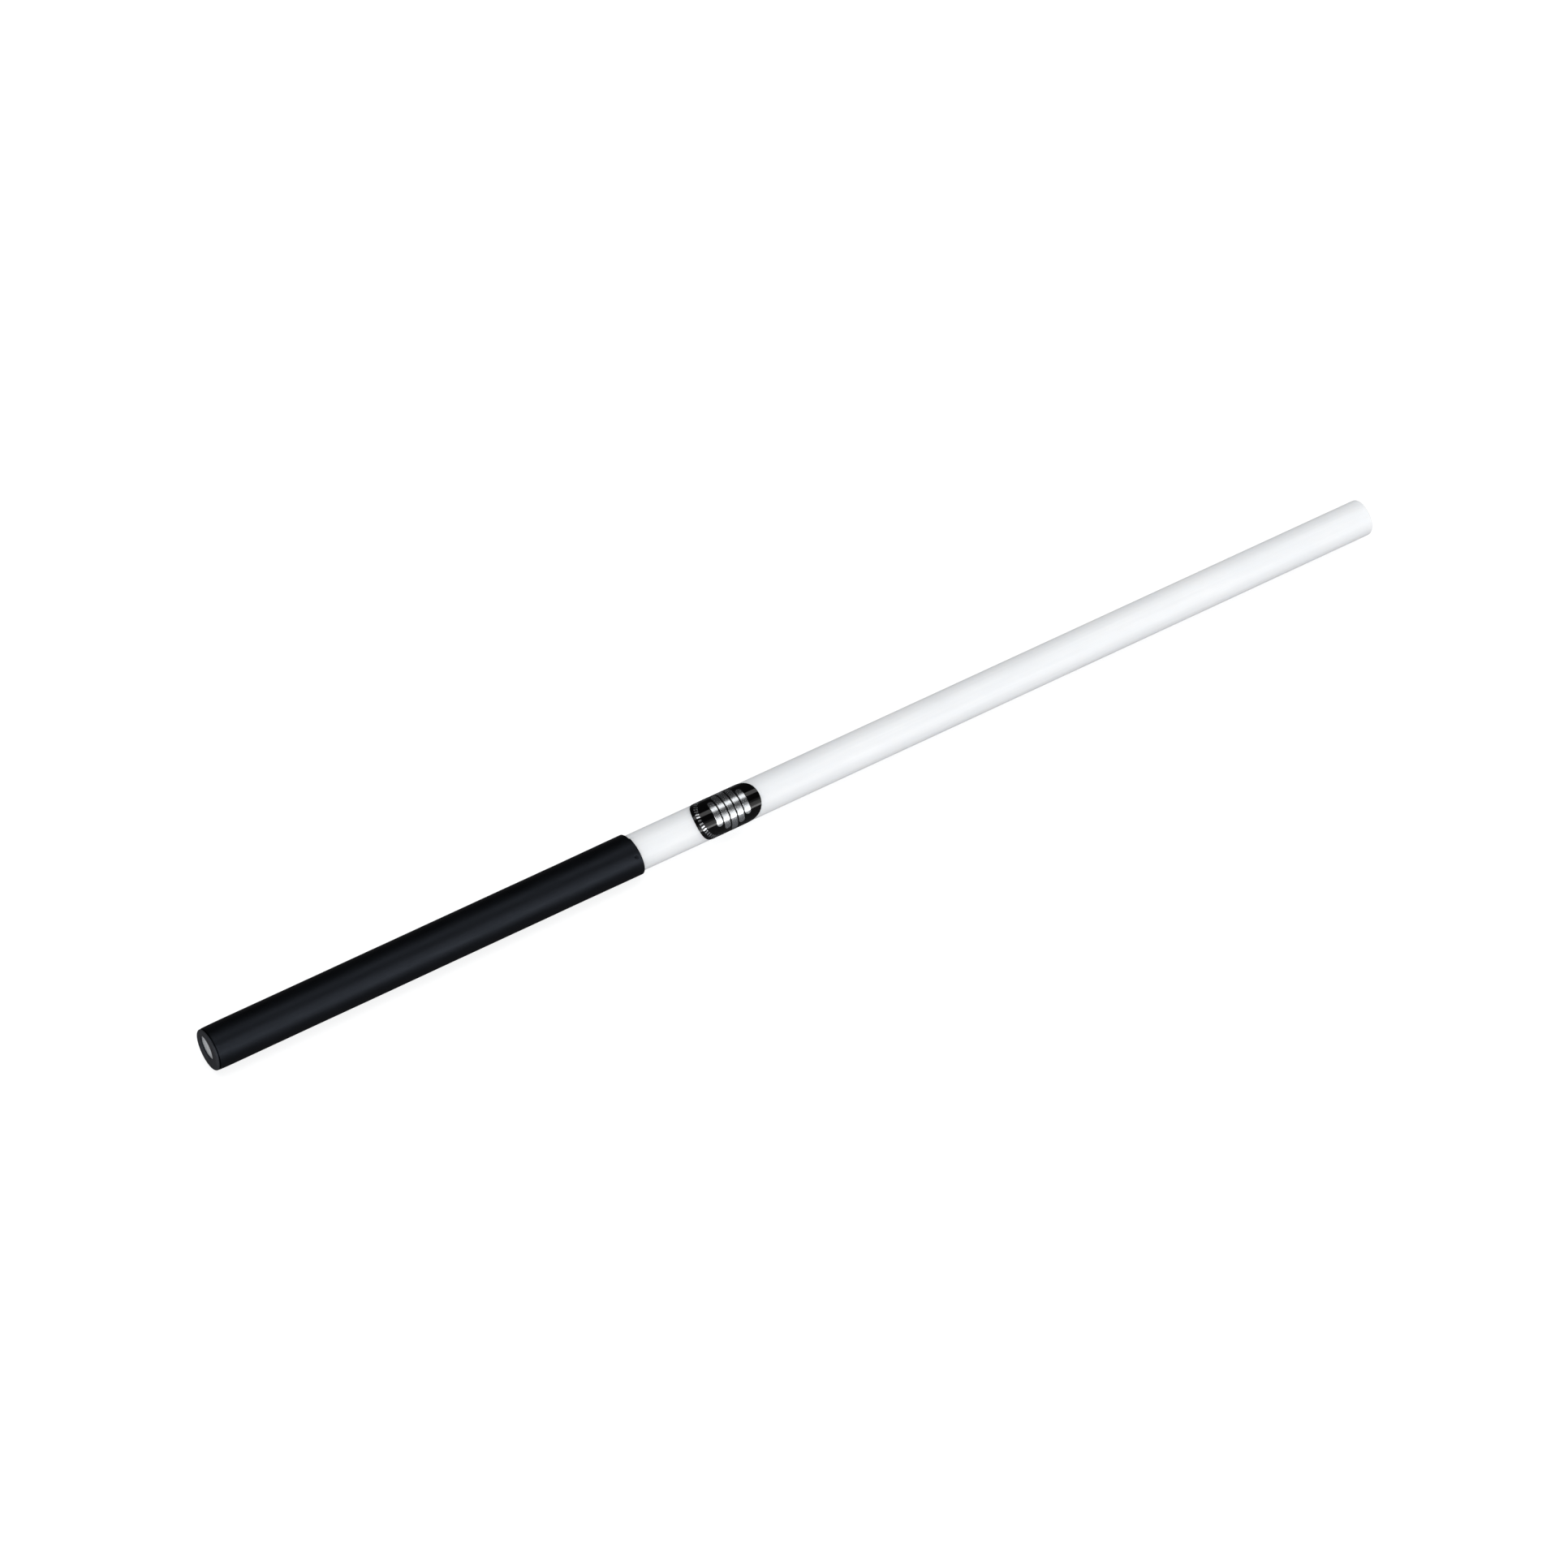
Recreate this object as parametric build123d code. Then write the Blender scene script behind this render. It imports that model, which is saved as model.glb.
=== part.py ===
from build123d import *
from math import cos, degrees, pi, radians, sin
import os

# A plastic samba drumstick: a solid white rod, a black sleeve pushed over one third of it
# as the grip, and a round black label with a silver print wrapped on the rod.
# Millimetres. The stick lies along +X on the line y = z = 0, its butt face is in the
# plane x = 0, and +Z is up.

# Rod
STICK_LENGTH = 420.0  # from the grip's butt face to the tip face
ROD_DIAMETER = 12.0
TIP_ROUND = 0.8  # edge radius at the end that strikes
ROD_BUTT_CHAMFER = 0.4  # edge break at the end inside the grip

# Sleeve grip
GRIP_LENGTH = 147.0
GRIP_WALL = 0.72
LIP_THICKNESS = 1.0  # end wall that the rod stands against
LIP_HOLE_DIAMETER = 8.0  # the rod's end shows through it
LIP_HOLE_SHIFT = 0.8  # the hole is moulded this far off the axis
LIP_HOLE_TURN = -51.7  # and to this side: degrees from +Z towards -Y, about the rod
LIP_HOLE_ROUND = 0.3
GRIP_BUTT_ROUND = 1.2
GRIP_FRONT_ROUND = 0.2
CREASE_GAP = 0.1  # from the butt round to the crease behind it
CREASE_WIDTH = 0.25
CREASE_DEPTH = 0.2

# Label: a round film, wrapped, so its outline is a circle only when it is unrolled
LABEL_GAP = 20.4  # bare rod between the grip and the label
LABEL_DIAMETER = 23.0
LABEL_THICKNESS = 0.1
LABEL_TURN = 33.0  # degrees from +Z towards -Y, about the rod, to the label's centre
OUTLINE_ARCS = 8  # the outline is this many splines, each through a few exact points
SPANS_PER_ARC = 4

# Print on the label: five bars around the rod, like a sound wave, and an arc of ticks
PRINT_THICKNESS = 0.03
BAR_LENGTHS = (9.0, 13.0, 17.0, 13.0, 9.0)  # measured around the rod
BAR_WIDTH = 2.0
BAR_PITCH = 2.5
BARS_FORWARD = 1.1  # the bars' centre, from the label's centre towards the tip
TICK_MARGIN = 1.1  # from the label's edge to the ticks
TICK_HEIGHT = 1.2
TICK_WIDTH = 0.5
TICK_COUNT = 25
TICK_ARC = 150.0  # degrees of the ring that the ticks fill, on the grip's side

ROD_RADIUS = ROD_DIAMETER / 2
GRIP_RADIUS = ROD_RADIUS + GRIP_WALL
FILM_RADIUS = ROD_RADIUS + LABEL_THICKNESS
PRINT_RADIUS = FILM_RADIUS + PRINT_THICKNESS
LABEL_RADIUS = LABEL_DIAMETER / 2
LABEL_X = GRIP_LENGTH + LABEL_GAP + LABEL_RADIUS
TICK_RING_RADIUS = LABEL_RADIUS - TICK_MARGIN - TICK_HEIGHT / 2
CUTTER_PAST = 0.5  # cutters reach this far past what they cut


def solid_round(radius, start, end):
    """A cylinder along X. Its seam faces -Z, where no label outline crosses it."""
    foot = Plane((start, 0, 0), x_dir=(0, 0, -1), z_dir=(1, 0, 0))
    return Solid.make_cylinder(radius, end - start, foot)


def tube(inner, outer, start, end):
    return solid_round(outer, start, end) - solid_round(inner, start, end)


def rims_at(shape, x, radius):
    """The circular edges of this radius in the plane at x."""
    return [e for e in shape.edges().filter_by(GeomType.CIRCLE)
            if abs(e.arc_center.X - x) < 1e-6 and abs(e.radius - radius) < 1e-6]


def rod():
    body = solid_round(ROD_RADIUS, LIP_THICKNESS, STICK_LENGTH)
    body = fillet(rims_at(body, STICK_LENGTH, ROD_RADIUS), TIP_ROUND)
    return chamfer(rims_at(body, LIP_THICKNESS, ROD_RADIUS), ROD_BUTT_CHAMFER)


def grip_sleeve():
    hole_radius = LIP_HOLE_DIAMETER / 2
    body = solid_round(GRIP_RADIUS, 0, GRIP_LENGTH)
    body -= solid_round(ROD_RADIUS, LIP_THICKNESS, GRIP_LENGTH)
    shift = Rot(X=LIP_HOLE_TURN) * Pos(0, 0, LIP_HOLE_SHIFT)
    body -= shift * solid_round(hole_radius, 0, LIP_THICKNESS)
    body = fillet(rims_at(body, 0, GRIP_RADIUS), GRIP_BUTT_ROUND)
    body = fillet(rims_at(body, 0, hole_radius), LIP_HOLE_ROUND)
    body = fillet(rims_at(body, GRIP_LENGTH, GRIP_RADIUS), GRIP_FRONT_ROUND)
    crease = GRIP_BUTT_ROUND + CREASE_GAP
    floor = GRIP_RADIUS - CREASE_DEPTH
    return body - tube(floor, GRIP_RADIUS + CUTTER_PAST, crease, crease + CREASE_WIDTH)


def outline_point(surface_radius, angle):
    """A point of the label's outline, carried straight out from the rod to another radius."""
    turn = LABEL_RADIUS * sin(angle) / ROD_RADIUS
    along = LABEL_X + LABEL_RADIUS * cos(angle)
    return Vector(along, -surface_radius * sin(turn), surface_radius * cos(turn))


def outline_tangent(surface_radius, angle):
    turn = LABEL_RADIUS * sin(angle) / ROD_RADIUS
    around = surface_radius * LABEL_RADIUS * cos(angle) / ROD_RADIUS
    return Vector(-LABEL_RADIUS * sin(angle), -around * cos(turn), -around * sin(turn))


def wrapped_circle(surface_radius):
    arc = 2 * pi / OUTLINE_ARCS
    edges = []
    for i in range(OUTLINE_ARCS):
        angles = [arc * (i + j / SPANS_PER_ARC) for j in range(SPANS_PER_ARC + 1)]
        points = [outline_point(surface_radius, angle) for angle in angles]
        tangents = [outline_tangent(surface_radius, angle) for angle in (angles[0], angles[-1])]
        edges.append(Edge.make_spline(points, tangents=tangents))
    return Wire(edges)


def label_film():
    """The piece that the wrapped outline cuts from a thin tube on the rod."""
    within = wrapped_circle(ROD_RADIUS - CUTTER_PAST)
    without = wrapped_circle(FILM_RADIUS + CUTTER_PAST)
    wall = Shell.make_loft([within, without], ruled=True)
    layer = tube(ROD_RADIUS, FILM_RADIUS, LABEL_X - LABEL_DIAMETER, LABEL_X + LABEL_DIAMETER)
    pieces = layer.split(wall, keep=Keep.ALL).solids()
    return pieces.sort_by(lambda piece: piece.bounding_box().size.X)[0]


def print_layer():
    return tube(FILM_RADIUS, PRINT_RADIUS, LABEL_X - LABEL_RADIUS, LABEL_X + LABEL_RADIUS)


def printed(outline, layer, forward, around, turn=0.0):
    """A flat outline laid on the film, this far forward and around from the label's centre."""
    place = Rot(X=degrees(around / FILM_RADIUS)) * Pos(LABEL_X + forward, 0, 0) * Rot(Z=turn)
    return place * extrude(outline, PRINT_RADIUS + CUTTER_PAST) & layer


def bar(layer, forward, length):
    """A bar with round ends, lying around the rod."""
    between_ends = length - BAR_WIDTH
    sweep = degrees(between_ends / FILM_RADIUS)
    place = Pos(LABEL_X + forward, 0, FILM_RADIUS + PRINT_THICKNESS / 2) * Rot(X=90)
    section = place * Rectangle(BAR_WIDTH, PRINT_THICKNESS)
    body = Rot(X=-sweep / 2) * revolve(section, Axis.X, sweep)
    for side in (-1, 1):
        body += printed(Circle(BAR_WIDTH / 2), layer, forward, side * between_ends / 2)
    return body


def ticks(layer):
    """Short strokes that point at the label's centre, in an arc on the grip's side."""
    outline = Rectangle(TICK_HEIGHT, TICK_WIDTH)
    strokes = []
    for i in range(TICK_COUNT):
        angle = 180 + TICK_ARC * (i / (TICK_COUNT - 1) - 0.5)
        forward = TICK_RING_RADIUS * cos(radians(angle))
        around = TICK_RING_RADIUS * sin(radians(angle))
        strokes.append(printed(outline, layer, forward, around, turn=-angle))
    return strokes


def label_print():
    layer = print_layer()
    middle = (len(BAR_LENGTHS) - 1) / 2
    places = [BARS_FORWARD + (i - middle) * BAR_PITCH for i in range(len(BAR_LENGTHS))]
    bars = [bar(layer, forward, length) for forward, length in zip(places, BAR_LENGTHS)]
    return Compound([solid for shape in bars + ticks(layer) for solid in shape.solids()])


on_stick = Rot(X=LABEL_TURN)
nodes = {
    "rod": rod(),
    "grip_sleeve": grip_sleeve(),
    "label_film": on_stick * label_film(),
    "label_print": on_stick * label_print(),
}

os.makedirs("parts", exist_ok=True)
for name, shape in nodes.items():
    export_step(shape, f"parts/{name}.step")
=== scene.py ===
import math

import bmesh
import bpy
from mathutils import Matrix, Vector, noise


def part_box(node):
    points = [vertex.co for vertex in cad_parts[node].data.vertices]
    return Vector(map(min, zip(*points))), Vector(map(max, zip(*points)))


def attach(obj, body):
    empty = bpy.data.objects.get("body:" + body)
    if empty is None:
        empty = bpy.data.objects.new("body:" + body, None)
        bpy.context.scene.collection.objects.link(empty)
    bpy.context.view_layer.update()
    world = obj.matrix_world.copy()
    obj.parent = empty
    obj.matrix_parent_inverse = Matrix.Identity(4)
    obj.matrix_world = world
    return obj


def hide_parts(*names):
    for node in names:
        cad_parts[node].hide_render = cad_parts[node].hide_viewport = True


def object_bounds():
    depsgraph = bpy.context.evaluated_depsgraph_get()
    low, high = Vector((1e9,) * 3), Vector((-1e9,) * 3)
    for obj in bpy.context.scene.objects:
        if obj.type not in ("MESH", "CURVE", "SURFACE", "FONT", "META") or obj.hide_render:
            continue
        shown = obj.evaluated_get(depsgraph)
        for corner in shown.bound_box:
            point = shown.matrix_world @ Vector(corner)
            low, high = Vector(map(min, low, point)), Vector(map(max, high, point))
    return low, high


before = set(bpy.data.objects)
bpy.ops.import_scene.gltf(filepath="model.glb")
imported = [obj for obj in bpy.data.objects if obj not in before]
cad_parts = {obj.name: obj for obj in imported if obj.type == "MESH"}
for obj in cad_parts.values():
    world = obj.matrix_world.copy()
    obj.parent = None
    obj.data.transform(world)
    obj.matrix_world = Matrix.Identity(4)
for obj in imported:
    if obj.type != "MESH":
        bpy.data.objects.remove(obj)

CAD_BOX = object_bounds()

# The looks of a plastic samba drumstick: a white nylon rod, a black vinyl sleeve as its
# grip, and a round gloss label with a silver print. Lengths here are millimetres, in the
# CAD's frame, and mesh_object() turns them into metres: the stick lies along +X from the
# grip's butt face at x = 0, on the line y = z = 0. Angles round the stick are degrees
# from +Z towards -Y, which is the side that the camera sees.
MM = 0.001

CAD_GRIP = [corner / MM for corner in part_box("grip_sleeve")]
CAD_ROD = [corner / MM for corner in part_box("rod")]
CAD_FILM = [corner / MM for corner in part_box("label_film")]

ROD_RADIUS = 6.0
ROD_BUTT = CAD_ROD[0].x
ROD_TIP = CAD_ROD[1].x
TIP_ROUND = 0.8
ROD_BUTT_CHAMFER = 0.4
FACE_RING_PITCH = 0.42  # turning marks on the rod's two end faces
FACE_RING_DEPTH = 0.012
FACE_RING_FADE = 0.6  # they run out over this width at the edge

GRIP_RADIUS = 6.72
GRIP_LENGTH = CAD_GRIP[1].x
LIP_THICKNESS = 1.0
LIP_HOLE_RADIUS = 4.0
LIP_HOLE_ROUND = 0.42
LIP_HOLE_SHIFT = 0.8  # off the axis
LIP_HOLE_TURN = -51.7
GRIP_FRONT_ROUND = 0.2
BUTT_FACE_RADIUS = 5.6  # the flat part of the butt's end
BUTT_EDGE_X = 0.76  # its rounded edge ends here, and a crease follows
BUTT_EDGE_RADIUS = 6.64
CREASE_CENTRE = 1.0
CREASE_HALF_WIDTH = 0.24
CREASE_FLOOR = 0.5  # this share of its width is flat
CREASE_DEPTH = 0.5
SHOULDER_X = 2.0  # behind the crease the sleeve rounds up to its full size by here
SHOULDER_DROP = 0.05

LABEL_X = (CAD_FILM[0].x + CAD_FILM[1].x) / 2
LABEL_RADIUS = (CAD_FILM[1].x - CAD_FILM[0].x) / 2
LABEL_TURN = 33.0
FILM_RADIUS = 6.1
FILM_EDGE_ROUND = 0.045

PRINT_THICKNESS = 0.03
PRINT_EDGE_ROUND = 0.012
BAR_LENGTHS = (9.0, 13.0, 17.0, 13.0, 9.0)  # measured around the rod
BAR_WIDTH = 2.0
BAR_PITCH = 2.5
BARS_FORWARD = 1.1  # the bars' centre, from the label's centre towards the tip
TICK_HEIGHT = 1.2
TICK_WIDTH = 0.5
TICK_CORNER = 0.08
TICK_COUNT = 25
TICK_ARC = 150.0  # degrees of the ring that the ticks fill, on the grip's side
TICK_MARGIN = 1.1  # from the label's edge to the ticks
TICK_RING_RADIUS = LABEL_RADIUS - TICK_MARGIN - TICK_HEIGHT / 2
LEAST_CORNER = 0.3  # a smaller ring of a stroke rounds its corners by this share of its width

# How fine the meshes are: points round each ring, and rings
ROD_SIDES = 256
ROD_RINGS = 160
ROD_FIRST_RING = 1.0  # the shaft's rings start this far from the butt
FACE_RINGS = 54  # on each end face, enough for the turning marks
SLEEVE_SIDES = 288
FILM_SIDES = 224
BAR_STEPS = 4  # for each millimetre of a bar's length
TICK_STEPS = 8
ROUND_STEPS = 6  # along a small rounded edge
MERGE_DISTANCE = 1e-8  # in metres, as are all of Blender's own lengths
DEGENERATE_LENGTH = 1e-9


def smoothstep(low, high, value):
    """0 up to low and 1 from high on, with a soft rise between. low may be the larger."""
    share = min(1.0, max(0.0, (value - low) / (high - low)))
    return share * share * (3 - 2 * share)


def spread(start, end, count):
    """count + 1 values from start to end, both of them included."""
    return [start + (end - start) * i / count for i in range(count + 1)]


def arc(centre_x, centre_r, radius, start, end, steps):
    """Profile points (x, r) on a circle; 0 degrees is towards +X and 90 away from the axis."""
    return [(centre_x + radius * math.cos(math.radians(angle)),
             centre_r + radius * math.sin(math.radians(angle)))
            for angle in spread(start, end, steps)]


def straight(radius, start, end, steps):
    """Profile points along the stick, at one radius."""
    return [(x, radius) for x in spread(start, end, steps)]


def flat(x, start, end, steps):
    """Profile points across the stick, from one radius to another."""
    return [(x, radius) for radius in spread(start, end, steps)]


def around(x, radius, turn):
    """The point at x and this distance from the axis, turned from +Z towards -Y."""
    angle = math.radians(turn)
    return (x, -radius * math.sin(angle), radius * math.cos(angle))


def mesh_object(name, vertices, faces, sharp_angle=40.0):
    """A closed, smooth-shaded mesh from points in millimetres, with its normals outwards."""
    mesh = bpy.data.meshes.new(name)
    mesh.from_pydata([Vector(point) * MM for point in vertices], [], faces)
    form = bmesh.new()
    form.from_mesh(mesh)
    bmesh.ops.remove_doubles(form, verts=form.verts, dist=MERGE_DISTANCE)
    bmesh.ops.dissolve_degenerate(form, edges=form.edges, dist=DEGENERATE_LENGTH)
    bmesh.ops.recalc_face_normals(form, faces=form.faces)
    form.to_mesh(mesh)
    form.free()
    mesh.shade_smooth()
    mesh.set_sharp_from_angle(angle=math.radians(sharp_angle))
    made = bpy.data.objects.new(name, mesh)
    bpy.context.scene.collection.objects.link(made)
    return made


def ring_faces(rings, count, closed):
    """Quads between rings of count points each; closed joins the last ring to the first."""
    faces = []
    for i in range(rings if closed else rings - 1):
        near = i * count
        far = ((i + 1) % rings) * count
        for j in range(count):
            k = (j + 1) % count
            faces.append((near + j, near + k, far + k, far + j))
    return faces


def lathe(name, profile, count, closed, place=around):
    """The profile turned about X. place(x, radius, turn) says where each point goes."""
    vertices = [place(x, radius, 360.0 * j / count) for x, radius in profile
                for j in range(count)]
    return mesh_object(name, vertices, ring_faces(len(profile), count, closed))


# --- Rod ---------------------------------------------------------------------------

def end_face(x, outwards, edge_radius):
    """A sawn and turned end, from the axis out: shallow rings round its centre."""
    points = []
    for radius in spread(0.0, edge_radius, FACE_RINGS):
        wave = 0.5 - 0.5 * math.cos(2 * math.pi * radius / FACE_RING_PITCH)
        fade = smoothstep(edge_radius, edge_radius - FACE_RING_FADE, radius)
        points.append((x - outwards * FACE_RING_DEPTH * wave * fade, radius))
    return points


def rod_profile():
    butt_edge = ROD_RADIUS - ROD_BUTT_CHAMFER
    tip_edge = ROD_RADIUS - TIP_ROUND
    butt = end_face(ROD_BUTT, -1, butt_edge)
    chamfer = [(ROD_BUTT + ROD_BUTT_CHAMFER * t, butt_edge + ROD_BUTT_CHAMFER * t)
               for t in (0.5, 1.0)]
    shaft = straight(ROD_RADIUS, ROD_BUTT + ROD_FIRST_RING, ROD_TIP - TIP_ROUND, ROD_RINGS)
    tip_round = arc(ROD_TIP - TIP_ROUND, tip_edge, TIP_ROUND, 90, 0, 2 * ROUND_STEPS)[1:]
    tip = end_face(ROD_TIP, 1, tip_edge)[::-1][1:]
    return butt + chamfer + shaft + tip_round + tip


# --- Grip sleeve -------------------------------------------------------------------

SKIN_FROM = ROD_RADIUS + 0.35  # only the outside is shaped: the shaping starts at this radius
SKIN_TO = GRIP_RADIUS - 0.05  # and is full from this one
SLACK = 0.06  # the sleeve sits this much off the rod between its ends
SLACK_RISE = (1.0, 6.0)  # from the butt, where it starts and where it is full
FLARE = 0.06  # and the cut end opens a little more
FLARE_LENGTH = 25.0
SWELL_DEPTH = 0.028  # slow unevenness of the surface
SWELL_ALONG = 0.045  # its noise's scale for each millimetre along the stick
SWELL_ROUND = 0.9  # and round it
RIPPLE_DEPTH = 0.010  # and a quicker one over it
RIPPLE_ALONG = 0.21
RIPPLE_ROUND = 2.2
RIPPLE_SHIFT = 5.0  # so that it doesn't repeat the swell's noise
UNEVEN_FROM_BUTT = (3.0, 9.0)  # both fade in over these lengths
UNEVEN_FROM_CUT = (2.0, 8.0)
CUT_SKEW = 0.48  # the sleeve's end was cut by hand and leans by this much to each side
CUT_LEAN_TURN = 38.3
CUT_FOLLOW = (6.0, 0.8)  # the sleeve's rings start to follow the cut, and follow it fully
CUT_RAGGED = 0.035
CUT_RAGGED_ROUND = 9.0  # the ragged edge's noise's scale round the stick
CUT_RAGGED_SHIFT = 3.7
STEP_TURN = -4.7  # where the cut jumps back
STEP_HALF_WIDTH = 1.6  # degrees
STEP_BACK = 0.32
STEP_MORE_BACK = 0.05  # and how much further it drifts back past the jump
STEP_DRIFT = 55.0  # over this angle
STEP_RETURN = (60.0, 175.0)  # then it comes forward again, between these angles past the jump
DIMPLE_TURN = 49.8
DIMPLE_BACK = 1.55  # from the cut end
DIMPLE_LENGTH = 0.7
DIMPLE_WIDTH = 0.42
DIMPLE_DEPTH = 0.4
DIMPLE_SLANT = 38.0
DIMPLE_FALL = 1.6  # how quickly its depth falls off
HOLE_SHIFT_X = (2.4, 1.4)  # the lip hole's shift off the axis fades in over these places
HOLE_SHIFT_RADIUS = (5.6, 4.4)
CUT_ZONE = 4.6  # the rings lie close together in this length behind the cut
BUTT_ZONE = 8.2  # and closer than elsewhere from the shoulder to here
RING_GAP = 0.8  # between those zones and the rings in the middle
SHOULDER_GAP = 0.3
BORE_ZONE = 6.0  # the bore's rings lie closer in this length, where they follow the cut


def signed_turn(turn, centre):
    """turn measured from centre, from -180 to 180 degrees."""
    return (turn - centre + 180.0) % 360.0 - 180.0


def cut_offset(turn):
    """How far the cut end stands forward of its nominal place at this angle."""
    angle = math.radians(turn)
    lean = CUT_SKEW * math.sin(math.radians(turn - CUT_LEAN_TURN))
    past_step = -signed_turn(turn, STEP_TURN)
    jump = STEP_BACK * smoothstep(-STEP_HALF_WIDTH, STEP_HALF_WIDTH, past_step)
    drift = STEP_MORE_BACK * smoothstep(0.0, STEP_DRIFT, past_step)
    back = (jump + drift) * (1.0 - smoothstep(*STEP_RETURN, past_step))
    ragged = noise.noise(Vector((math.cos(angle) * CUT_RAGGED_ROUND,
                                 math.sin(angle) * CUT_RAGGED_ROUND, CUT_RAGGED_SHIFT)))
    return lean - back + CUT_RAGGED * ragged


def unevenness(x, turn):
    """How far the sleeve's outside stands proud here, by its swell and its ripple."""
    cosine = math.cos(math.radians(turn))
    sine = math.sin(math.radians(turn))
    swell = noise.noise(Vector((x * SWELL_ALONG, cosine * SWELL_ROUND, sine * SWELL_ROUND)))
    ripple = noise.noise(Vector((x * RIPPLE_ALONG, cosine * RIPPLE_ROUND + RIPPLE_SHIFT,
                                 sine * RIPPLE_ROUND)))
    inside = smoothstep(*UNEVEN_FROM_BUTT, x) * smoothstep(*UNEVEN_FROM_CUT, GRIP_LENGTH - x)
    return inside * (SWELL_DEPTH * swell + RIPPLE_DEPTH * ripple)


def dimple(from_cut, turn):
    """The depth of the small slanting dimple behind the cut end."""
    slant = math.radians(DIMPLE_SLANT)
    along = DIMPLE_BACK - from_cut
    across = math.radians(signed_turn(turn, DIMPLE_TURN)) * GRIP_RADIUS
    long_way = along * math.cos(slant) + across * math.sin(slant)
    short_way = across * math.cos(slant) - along * math.sin(slant)
    reach = (long_way / DIMPLE_LENGTH) ** 2 + (short_way / DIMPLE_WIDTH) ** 2
    return DIMPLE_DEPTH * math.exp(-reach * DIMPLE_FALL)


def sleeve_shape(x, radius, turn):
    """Where a point of the sleeve's profile lies on the real, uneven sleeve."""
    from_cut = GRIP_LENGTH - x
    skin = smoothstep(SKIN_FROM, SKIN_TO, radius)
    slack = SLACK * smoothstep(*SLACK_RISE, x)
    flare = FLARE * smoothstep(FLARE_LENGTH, 0.0, from_cut)
    moved = radius + skin * (unevenness(x, turn) + slack + flare)
    if skin > 0.5:  # the bore has no dimple
        moved -= dimple(from_cut, turn)
    follow = smoothstep(*CUT_FOLLOW, from_cut)
    point = Vector(around(x + follow * cut_offset(turn), moved, turn))
    near_hole = smoothstep(*HOLE_SHIFT_X, x) * smoothstep(*HOLE_SHIFT_RADIUS, radius)
    return point + near_hole * Vector(around(0.0, LIP_HOLE_SHIFT, LIP_HOLE_TURN))


def sleeve_outside():
    """From the cut end's rounded edge along the outside to the crease."""
    cut_zone = GRIP_LENGTH - CUT_ZONE
    crease_end = CREASE_CENTRE + CREASE_HALF_WIDTH
    points = straight(GRIP_RADIUS, GRIP_LENGTH - GRIP_FRONT_ROUND, cut_zone, 34)
    points += straight(GRIP_RADIUS, cut_zone - RING_GAP, BUTT_ZONE + RING_GAP, 136)
    points += straight(GRIP_RADIUS, BUTT_ZONE, SHOULDER_X + SHOULDER_GAP, 10)
    for x in spread(SHOULDER_X, crease_end, 10):
        rise = (SHOULDER_X - x) / (SHOULDER_X - crease_end)
        points.append((x, GRIP_RADIUS - SHOULDER_DROP * rise ** 2))
    return points


def sleeve_butt():
    """The crease, then the butt's rounded edge, which is a quarter of an ellipse."""
    crease_end = CREASE_CENTRE + CREASE_HALF_WIDTH
    rim_rise = GRIP_RADIUS - SHOULDER_DROP - BUTT_EDGE_RADIUS
    points = []
    for x in spread(crease_end, BUTT_EDGE_X, 12)[1:-1]:
        off_centre = abs(x - CREASE_CENTRE) / CREASE_HALF_WIDTH
        rim = BUTT_EDGE_RADIUS + rim_rise * (x - BUTT_EDGE_X) / (crease_end - BUTT_EDGE_X)
        depth = CREASE_DEPTH * (1.0 - smoothstep(CREASE_FLOOR, 1.0, off_centre))
        points.append((x, rim - depth))
    for angle in spread(math.pi / 2, 0.0, 14):
        points.append((BUTT_EDGE_X * (1 - math.cos(angle)), BUTT_FACE_RADIUS
                       + (BUTT_EDGE_RADIUS - BUTT_FACE_RADIUS) * math.sin(angle)))
    return points


def sleeve_profile():
    """A closed outline: along the outside to the butt, through the lip's hole, and back."""
    hole_rim = LIP_HOLE_RADIUS + LIP_HOLE_ROUND
    front_rim = GRIP_RADIUS - GRIP_FRONT_ROUND
    bore_zone = GRIP_LENGTH - BORE_ZONE
    butt_face = flat(0.0, BUTT_FACE_RADIUS, hole_rim, 6)[1:]
    hole_round = arc(LIP_HOLE_ROUND, hole_rim, LIP_HOLE_ROUND, 180, 270, ROUND_STEPS + 1)[1:]
    hole = straight(LIP_HOLE_RADIUS, LIP_HOLE_ROUND, LIP_THICKNESS, 3)[1:]
    lip_inside = flat(LIP_THICKNESS, LIP_HOLE_RADIUS, ROD_RADIUS, 5)[1:]
    bore = straight(ROD_RADIUS, LIP_THICKNESS, bore_zone, 40)[1:]
    bore += straight(ROD_RADIUS, bore_zone, GRIP_LENGTH, 12)[1:]
    cut_face = flat(GRIP_LENGTH, ROD_RADIUS, front_rim, 5)[1:]
    front_round = arc(GRIP_LENGTH - GRIP_FRONT_ROUND, front_rim, GRIP_FRONT_ROUND,
                      0, 90, ROUND_STEPS)[1:-1]
    return (sleeve_outside() + sleeve_butt() + butt_face + hole_round + hole + lip_inside
            + bore + cut_face + front_round)


# --- Label -------------------------------------------------------------------------

def on_label(forward, sideways, radius, unrolled_radius):
    """A point of the unrolled label, laid on the rod. sideways runs round the rod."""
    turn = LABEL_TURN + math.degrees(sideways / unrolled_radius)
    return around(LABEL_X + forward, radius, turn)


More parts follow.
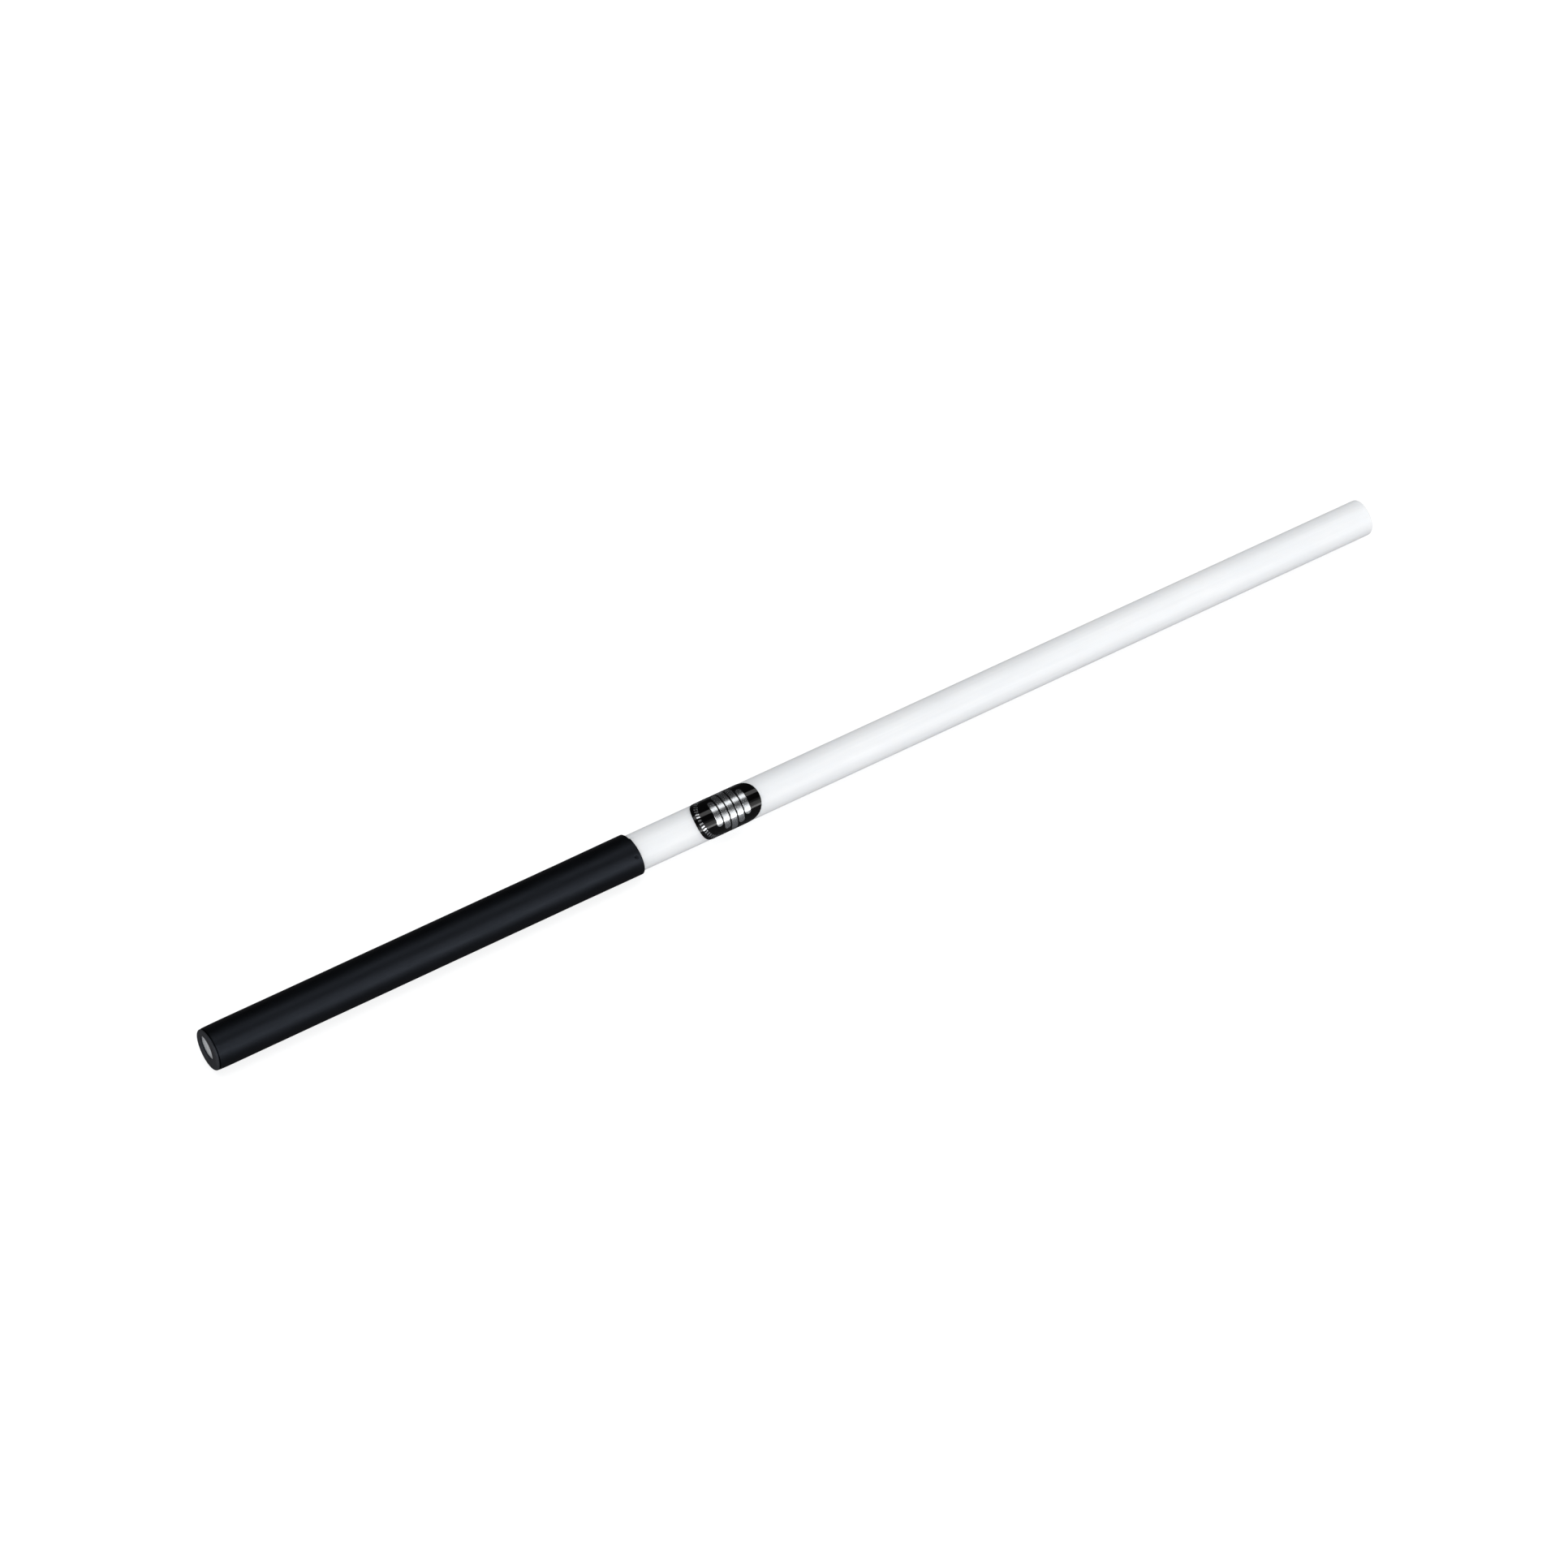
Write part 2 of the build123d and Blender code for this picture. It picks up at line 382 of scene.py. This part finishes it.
def film():
    """The wrapped disc: a top with a rounded rim, and an underside on the rod."""
    rim_start = LABEL_RADIUS - FILM_EDGE_ROUND
    rim = [(rim_start + FILM_EDGE_ROUND * math.sin(math.radians(angle)),
            FILM_RADIUS - FILM_EDGE_ROUND + FILM_EDGE_ROUND * math.cos(math.radians(angle)))
           for angle in spread(0, 90, ROUND_STEPS)]
    top = [(from_centre, FILM_RADIUS) for from_centre in spread(0.0, rim_start, 44)][:-1]
    under = [(from_centre, ROD_RADIUS) for from_centre in spread(LABEL_RADIUS, 0.0, 30)]
    rings = top + rim + under
    vertices = []
    for from_centre, radius in rings:
        for j in range(FILM_SIDES):
            angle = 2 * math.pi * j / FILM_SIDES
            vertices.append(on_label(from_centre * math.cos(angle),
                                     from_centre * math.sin(angle), radius, ROD_RADIUS))
    faces = ring_faces(len(rings), FILM_SIDES, False)
    return mesh_object("label_disc", vertices, faces, sharp_angle=70.0)


def stroke_outline(half_length, half_width, corner, steps):
    """Points of a rounded rectangle, counted so that every inset of it has as many.

    steps is for each long side.
    """
    points = []
    corners = ((1, 1, 0), (-1, 1, 90), (-1, -1, 180), (1, -1, 270))
    for side_x, side_y, start in corners:
        centre_x = side_x * (half_length - corner)
        centre_y = side_y * (half_width - corner)
        for angle in spread(start, start + 90, ROUND_STEPS):
            points.append((centre_x + corner * math.cos(math.radians(angle)),
                           centre_y + corner * math.sin(math.radians(angle))))
        if start in (0, 180):
            for x in spread(centre_x, -centre_x, steps)[1:-1]:
                points.append((x, side_y * half_width))
    return points


def stroke(half_length, half_width, corner, forward, sideways, turn, steps):
    """One raised stroke of the print, as rings from its middle out, down and under."""
    rings = [(half_width * share, PRINT_THICKNESS) for share in (1.0, 0.75, 0.5, 0.25)]
    rings += [(PRINT_EDGE_ROUND * (1 - math.sin(math.radians(angle))),
               PRINT_THICKNESS - PRINT_EDGE_ROUND * (1 - math.cos(math.radians(angle))))
              for angle in spread(0, 90, 4)]
    rings += [(half_width * share, 0.0) for share in (0.0, 0.5, 1.0)]
    cosine = math.cos(math.radians(turn))
    sine = math.sin(math.radians(turn))
    vertices = []
    for inset, height in rings:
        width = half_width - inset
        inner_corner = min(width, max(corner - inset, LEAST_CORNER * width))
        for x, y in stroke_outline(half_length - inset, width, inner_corner, steps):
            vertices.append(on_label(forward + x * cosine - y * sine,
                                     sideways + x * sine + y * cosine,
                                     FILM_RADIUS + height, FILM_RADIUS))
    return vertices, ring_faces(len(rings), len(vertices) // len(rings), False)


def foil_print():
    """Five bars round the rod, like a sound wave, and an arc of ticks on the grip's side."""
    vertices = []
    faces = []

    def add(part):
        start = len(vertices)
        vertices.extend(part[0])
        faces.extend(tuple(start + i for i in face) for face in part[1])

    middle = (len(BAR_LENGTHS) - 1) / 2
    for i, length in enumerate(BAR_LENGTHS):
        place = BARS_FORWARD + (i - middle) * BAR_PITCH
        add(stroke(length / 2, BAR_WIDTH / 2, BAR_WIDTH / 2, place, 0.0, 90.0,
                   int(length * BAR_STEPS)))
    for i in range(TICK_COUNT):
        angle = 180 + TICK_ARC * (i / (TICK_COUNT - 1) - 0.5)
        place = (TICK_RING_RADIUS * math.cos(math.radians(angle)),
                 TICK_RING_RADIUS * math.sin(math.radians(angle)))
        add(stroke(TICK_HEIGHT / 2, TICK_WIDTH / 2, TICK_CORNER, *place, angle, TICK_STEPS))
    return mesh_object("label_foil", vertices, faces, sharp_angle=60.0)


# --- Materials ---------------------------------------------------------------------

class Look:
    """A material made of a Principled shader and the nodes that feed it."""

    def __init__(self, name):
        self.material = bpy.data.materials.new(name)
        self.material.use_nodes = True
        self.tree = self.material.node_tree
        self.shader = self.tree.nodes["Principled BSDF"]
        self.place = self.tree.nodes.new("ShaderNodeTexCoord")

    def set(self, **values):
        for name, value in values.items():
            self.shader.inputs[name.replace("_", " ")].default_value = value

    def node(self, kind, **settings):
        made = self.tree.nodes.new("ShaderNode" + kind)
        for name, value in settings.items():
            setattr(made, name, value)
        return made

    def link(self, source, target):
        self.tree.links.new(source, target)

    def noise(self, size, stretch=1.0, detail=4.0, roughness=0.55):
        """Noise with features of about this size in millimetres, stretched along X."""
        mapping = self.node("Mapping")
        across = 1.0 / (size * MM)
        mapping.inputs["Scale"].default_value = (across / stretch, across, across)
        self.link(self.place.outputs["Object"], mapping.inputs["Vector"])
        made = self.node("TexNoise")
        made.inputs["Scale"].default_value = 1.0
        made.inputs["Detail"].default_value = detail
        made.inputs["Roughness"].default_value = roughness
        self.link(mapping.outputs["Vector"], made.inputs["Vector"])
        return made.outputs["Fac"]

    def remap(self, source, low, high, to_low, to_high):
        """The source's values from low to high, stretched to another range."""
        made = self.node("MapRange")
        for name, value in (("From Min", low), ("From Max", high), ("To Min", to_low),
                            ("To Max", to_high)):
            made.inputs[name].default_value = value
        self.link(source, made.inputs["Value"])
        return made.outputs["Result"]

    def maths(self, operation, first, second):
        made = self.node("Math", operation=operation)
        for slot, value in zip(made.inputs, (first, second)):
            if isinstance(value, (int, float)):
                slot.default_value = value
            else:
                self.link(value, slot)
        return made.outputs["Value"]

    def blend(self, share, first, second):
        """A colour between two, by share."""
        made = self.node("Mix", data_type="RGBA")
        self.link(share, made.inputs["Factor"])
        for slot, colour in (("A", first), ("B", second)):
            socket = next(s for s in made.inputs if s.name == slot and s.type == "RGBA")
            if isinstance(colour, tuple):
                socket.default_value = (*colour, 1.0)
            else:
                self.link(colour, socket)
        return next(s for s in made.outputs if s.type == "RGBA")

    def bump(self, *layers):
        """Relief: each layer is (height source, depth in millimetres)."""
        normal = None
        for source, depth in layers:
            made = self.node("Bump")
            made.inputs["Strength"].default_value = 1.0
            made.inputs["Distance"].default_value = depth * MM
            self.link(source, made.inputs["Height"])
            if normal:
                self.link(normal, made.inputs["Normal"])
            normal = made.outputs["Normal"]
        self.link(normal, self.shader.inputs["Normal"])


def nylon():
    """White nylon rod: faint streaks from drawing, slight scuffs, light held under the skin."""
    look = Look("white_nylon")
    streaks = look.noise(0.8, stretch=60.0, detail=5.0)
    clouds = look.noise(9.0, stretch=3.0, detail=3.0)
    scuffs = look.noise(1.6, stretch=0.6, detail=6.0, roughness=0.7)
    tone = look.maths("MULTIPLY", streaks, clouds)
    share = look.remap(tone, 0.12, 0.42, 0.0, 1.0)
    colour = look.blend(share, (0.83, 0.845, 0.86), (0.875, 0.885, 0.895))
    look.link(colour, look.shader.inputs["Base Color"])
    rough = look.maths("ADD", look.remap(streaks, 0.3, 0.7, 0.36, 0.44),
                       look.remap(scuffs, 0.55, 0.8, 0.0, 0.12))
    look.link(rough, look.shader.inputs["Roughness"])
    look.set(IOR=1.53, Subsurface_Weight=0.6, Subsurface_Scale=0.005,
             Subsurface_Radius=(1.0, 0.95, 0.9))
    look.bump((streaks, 0.006), (scuffs, 0.004))
    return look.material


def vinyl():
    """Black satin vinyl: a fine matt grain, smoother handled patches, and painted light on the
    butt, where the end face is lightened to a dark grey.
    """
    look = Look("black_vinyl")
    grain = look.noise(0.22, detail=3.0)
    patches = look.noise(7.0, stretch=2.0, detail=4.0)
    wipes = look.noise(1.3, stretch=7.0, detail=4.0)
    colour = look.blend(look.remap(patches, 0.3, 0.7, 0.0, 1.0),
                        (0.0003, 0.0003, 0.0003), (0.0007, 0.0007, 0.0009))
    split = look.node("SeparateXYZ")
    look.link(look.place.outputs["Object"], split.inputs["Vector"])
    # Painted light: a lighter, patchy grey on the butt's end face, fading out over its rounded
    # edge, stands in for the light that face catches.
    butt = look.remap(split.outputs["X"], 0.3 * MM, 1.0 * MM, 1.0, 0.0)
    painted_butt_light = look.maths("MULTIPLY", butt, look.remap(patches, 0.2, 0.6, 0.7, 1.0))
    colour = look.blend(painted_butt_light, colour, (0.045, 0.045, 0.049))
    look.link(colour, look.shader.inputs["Base Color"])
    rough = look.maths("ADD", look.remap(patches, 0.3, 0.7, 0.43, 0.51),
                       look.remap(wipes, 0.35, 0.65, -0.02, 0.03))
    look.link(rough, look.shader.inputs["Roughness"])
    look.set(IOR=1.5, Specular_IOR_Level=0.42, Specular_Tint=(0.7, 0.8, 1.0, 1.0))
    look.bump((wipes, 0.006), (grain, 0.012))
    return look.material


def gloss_film():
    """Black gloss film: deep black, with the slight unevenness of a pressed-on label."""
    look = Look("black_gloss_film")
    waves = look.noise(2.6, detail=2.0)
    dust = look.noise(0.5, detail=6.0, roughness=0.75)
    colour = look.blend(look.remap(dust, 0.4, 0.8, 0.0, 1.0),
                        (0.0006, 0.0006, 0.0007), (0.0014, 0.0014, 0.0016))
    look.link(colour, look.shader.inputs["Base Color"])
    look.link(look.remap(dust, 0.35, 0.75, 0.05, 0.09), look.shader.inputs["Roughness"])
    look.set(IOR=1.5, Specular_IOR_Level=0.42, Coat_Weight=0.15, Coat_Roughness=0.05)
    look.bump((waves, 0.004))
    return look.material


def foil():
    """Silver foil print: bright metal with a fine rolled grain."""
    look = Look("silver_foil")
    grain = look.noise(0.35, detail=5.0, roughness=0.7)
    cast = look.noise(3.0, detail=3.0)
    colour = look.blend(look.remap(cast, 0.3, 0.7, 0.0, 1.0),
                        (0.80, 0.83, 0.86), (0.88, 0.90, 0.92))
    look.link(colour, look.shader.inputs["Base Color"])
    look.link(look.remap(grain, 0.3, 0.7, 0.21, 0.29), look.shader.inputs["Roughness"])
    look.set(Metallic=1.0)
    look.bump((grain, 0.002))
    return look.material


# --- Pieces ------------------------------------------------------------------------

def add_piece(piece, node, material):
    piece.data.materials.append(material)
    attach(piece, "root")
    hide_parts(node)


add_piece(lathe("rod_body", rod_profile(), ROD_SIDES, False), "rod", nylon())
add_piece(lathe("grip_tube", sleeve_profile(), SLEEVE_SIDES, True, sleeve_shape),
          "grip_sleeve", vinyl())
add_piece(film(), "label_film", gloss_film())
add_piece(foil_print(), "label_print", foil())

# --- Floor, light and camera: lengths here are metres -------------------------------

FLOOR_Z = CAD_BOX[0].z
FLOOR_REACH = 6.0
FLOOR_GLOW = 0.78  # seen by the camera only, so that the floor reads as white

FRONT_WALL_Y = -1.25
FRONT_LEFT = (-0.8, 0.45)  # the wall's two halves, along X
FRONT_RIGHT = (0.45, 1.7)
PANEL_TOP = 46  # the wall's top edge, in degrees from +Z as the stick sees it
PANEL_HEIGHT = 11
RIGHT_POWERS = (0.3, 1.1, 1.2, 3.5)  # watts, from the top down

WORLD_COLOUR = (0.97, 0.985, 1.0, 1.0)
WORLD_STRENGTHS = (("Is Camera Ray", 1.4), ("Is Diffuse Ray", 0.4), ("Is Glossy Ray", 0.03))

CAMERA_AZIMUTH = -32.3  # where the photograph was taken from: to the left, and above
CAMERA_ELEVATION = 46.95
CAMERA_TARGET = Vector((0.20148, 0.0, 0.0))
CAMERA_DISTANCE = 1.9166
CAMERA_LENS = 143.5


def floor():
    """Pale to the camera, and darker in reflections and on the stick's underside."""
    mesh = bpy.data.meshes.new("floor")
    corners = [(x * FLOOR_REACH, y * FLOOR_REACH, FLOOR_Z)
               for x, y in ((-1, -1), (1, -1), (1, 1), (-1, 1))]
    mesh.from_pydata(corners, [], [(0, 1, 2, 3)])
    made = bpy.data.objects.new("floor", mesh)
    bpy.context.scene.collection.objects.link(made)
    look = Look("pale_floor")
    look.set(Roughness=0.9, Specular_IOR_Level=0.1, Emission_Color=(1.0, 1.0, 1.0, 1.0))
    rays = look.node("LightPath")
    seen = rays.outputs["Is Camera Ray"]
    bounced = look.blend(rays.outputs["Is Diffuse Ray"], (0.12, 0.12, 0.125), (0.45, 0.45, 0.46))
    look.link(look.blend(seen, bounced, (0.4, 0.405, 0.41)), look.shader.inputs["Base Color"])
    look.link(look.maths("MULTIPLY", seen, FLOOR_GLOW), look.shader.inputs["Emission Strength"])
    mesh.materials.append(look.material)


def softbox(name, centre, facing, size, power, in_gloss=True):
    """A soft rectangle of light, which the camera doesn't see. in_gloss: gloss reflects it."""
    light = bpy.data.lights.new(name, "AREA")
    light.shape = "RECTANGLE"
    light.size = size[0]
    light.size_y = size[1]
    light.energy = power
    made = bpy.data.objects.new(name, light)
    made.location = centre
    made.rotation_euler = (Vector(facing) - Vector(centre)).to_track_quat("-Z", "Y").to_euler()
    made.visible_camera = False
    made.visible_glossy = in_gloss
    bpy.context.scene.collection.objects.link(made)


def front_panel(name, top, bottom, ends, power):
    """A panel in the front wall, between two angles from +Z as the stick sees it."""
    low = -FRONT_WALL_Y / math.tan(math.radians(bottom))
    high = -FRONT_WALL_Y / math.tan(math.radians(top))
    middle = (sum(ends) / 2, FRONT_WALL_Y, (low + high) / 2)
    size = (ends[1] - ends[0], high - low)
    softbox(name, middle, (middle[0], 0.0, middle[2]), size, power)


def world_light():
    """White behind everything, soft fill on matt surfaces, and almost dark in reflections."""
    world = bpy.data.worlds.new("studio")
    world.use_nodes = True
    tree = world.node_tree
    background = tree.nodes["Background"]
    background.inputs["Color"].default_value = WORLD_COLOUR
    rays = tree.nodes.new("ShaderNodeLightPath")
    total = None
    for kind, strength in WORLD_STRENGTHS:
        part = tree.nodes.new("ShaderNodeMath")
        part.operation = "MULTIPLY_ADD"
        tree.links.new(rays.outputs[kind], part.inputs[0])
        part.inputs[1].default_value = strength
        part.inputs[2].default_value = 0.0
        if total:
            tree.links.new(total, part.inputs[2])
        total = part.outputs["Value"]
    tree.links.new(total, background.inputs["Strength"])
    bpy.context.scene.world = world


def studio():
    world_light()
    front_panel("front_left_high", PANEL_TOP, PANEL_TOP + PANEL_HEIGHT, FRONT_LEFT, 6.9)
    front_panel("front_left_low", 90 - PANEL_HEIGHT, 90, FRONT_LEFT, 3.4)
    # The right half is what the label mirrors: it brightens downwards.
    for i, power in enumerate(RIGHT_POWERS):
        top = PANEL_TOP + i * PANEL_HEIGHT
        front_panel(f"front_right_{i + 1}", top, top + PANEL_HEIGHT, FRONT_RIGHT, power)
    softbox("top_left", (0.0, -0.02, 1.1), (0.0, -0.02, 0.0), (1.1, 0.47), 1.6)
    softbox("top_right", (1.1, -0.02, 1.1), (1.1, -0.02, 0.0), (1.1, 0.43), 2.0)
    softbox("left_wall", (-1.25, -0.25, 0.5), (0.0, -0.25, 0.5), (0.8, 1.0), 0.8)
    softbox("butt_fill", (-0.5, -1.0, 0.35), (0.1, 0.0, 0.0), (0.7, 0.6), 0.9, False)
    softbox("back_fill", (0.2, 0.9, 1.0), (0.2, 0.0, 0.0), (1.6, 0.6), 2.8, False)
    softbox("tip_fill", (1.6, 0.1, 0.5), (0.3, 0.0, 0.0), (0.8, 0.8), 5.5, False)


def camera():
    azimuth = math.radians(CAMERA_AZIMUTH)
    elevation = math.radians(CAMERA_ELEVATION)
    back = Vector((math.sin(azimuth) * math.cos(elevation),
                   -math.cos(azimuth) * math.cos(elevation), math.sin(elevation)))
    lens = bpy.data.cameras.new("camera")
    lens.lens = CAMERA_LENS
    lens.sensor_width = 36.0
    lens.clip_start = 0.05
    lens.clip_end = 50.0
    made = bpy.data.objects.new("camera", lens)
    made.location = CAMERA_TARGET + back * CAMERA_DISTANCE
    made.rotation_euler = (-back).to_track_quat("-Z", "Y").to_euler()
    bpy.context.scene.collection.objects.link(made)
    bpy.context.scene.camera = made


floor()
studio()
camera()
bpy.context.scene.view_settings.view_transform = "Standard"
